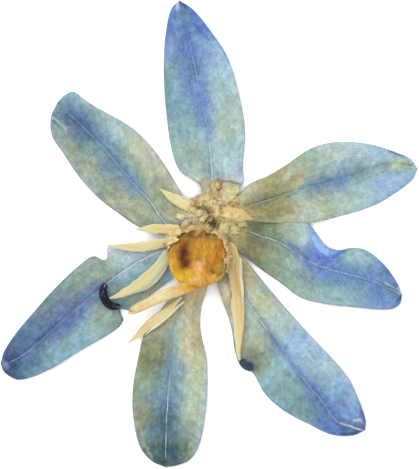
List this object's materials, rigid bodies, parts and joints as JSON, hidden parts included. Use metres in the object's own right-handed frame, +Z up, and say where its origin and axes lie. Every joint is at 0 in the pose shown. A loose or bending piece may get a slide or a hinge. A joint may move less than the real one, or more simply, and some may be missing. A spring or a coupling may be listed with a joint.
{
  "type": "siberian squill flower",
  "caption": "Pressed, dried siberian squill flower lying face up: veined blue tepals round a small receptacle, cream stamen filaments, dark anthers and an amber ovary with its style.",
  "frame": {"origin": "bottom centre of the box round the flower, on the surface it lies on", "axes": "+Z up out of the open face of the flower, +Y along the flower's longest extent towards the top tepal, +X to the right as seen from above"},
  "size_m": [0.0272, 0.0304, 0.003],
  "materials": {
    "tepal": "matte dried petal, blue along the midrib and tip, sage and cream elsewhere, fine pale vein",
    "filament": "matte cream-yellow dried filament with lengthwise fibres",
    "anther": "satin blue-black anther with a groove along it",
    "ovary": "waxy amber, brown towards its rim with a purple-brown patch",
    "tissue": "crumpled matte flakes, cream, pinkish and brown",
    "receptacle": "matte olive brown, paler at the stalk scar"
  },
  "bodies": {
    "root": {"receptacle": "receptacle", "tepal_top": "tepal", "tepal_upper_left": "tepal", "tepal_lower_left": "tepal", "tepal_bottom": "tepal", "tepal_lower_right": "tepal", "tepal_right": "tepal", "tepal_upper_right": "tepal", "filament_a": "filament", "filament_b": "filament", "filament_c": "filament", "filament_d": "filament", "filament_f": "filament", "filament_g": "filament", "filament_h": "filament", "anther_d": "anther", "anther_g": "anther", "pistil": "ovary", "torn_tissue": "tissue"}
  },
  "joints": []
}
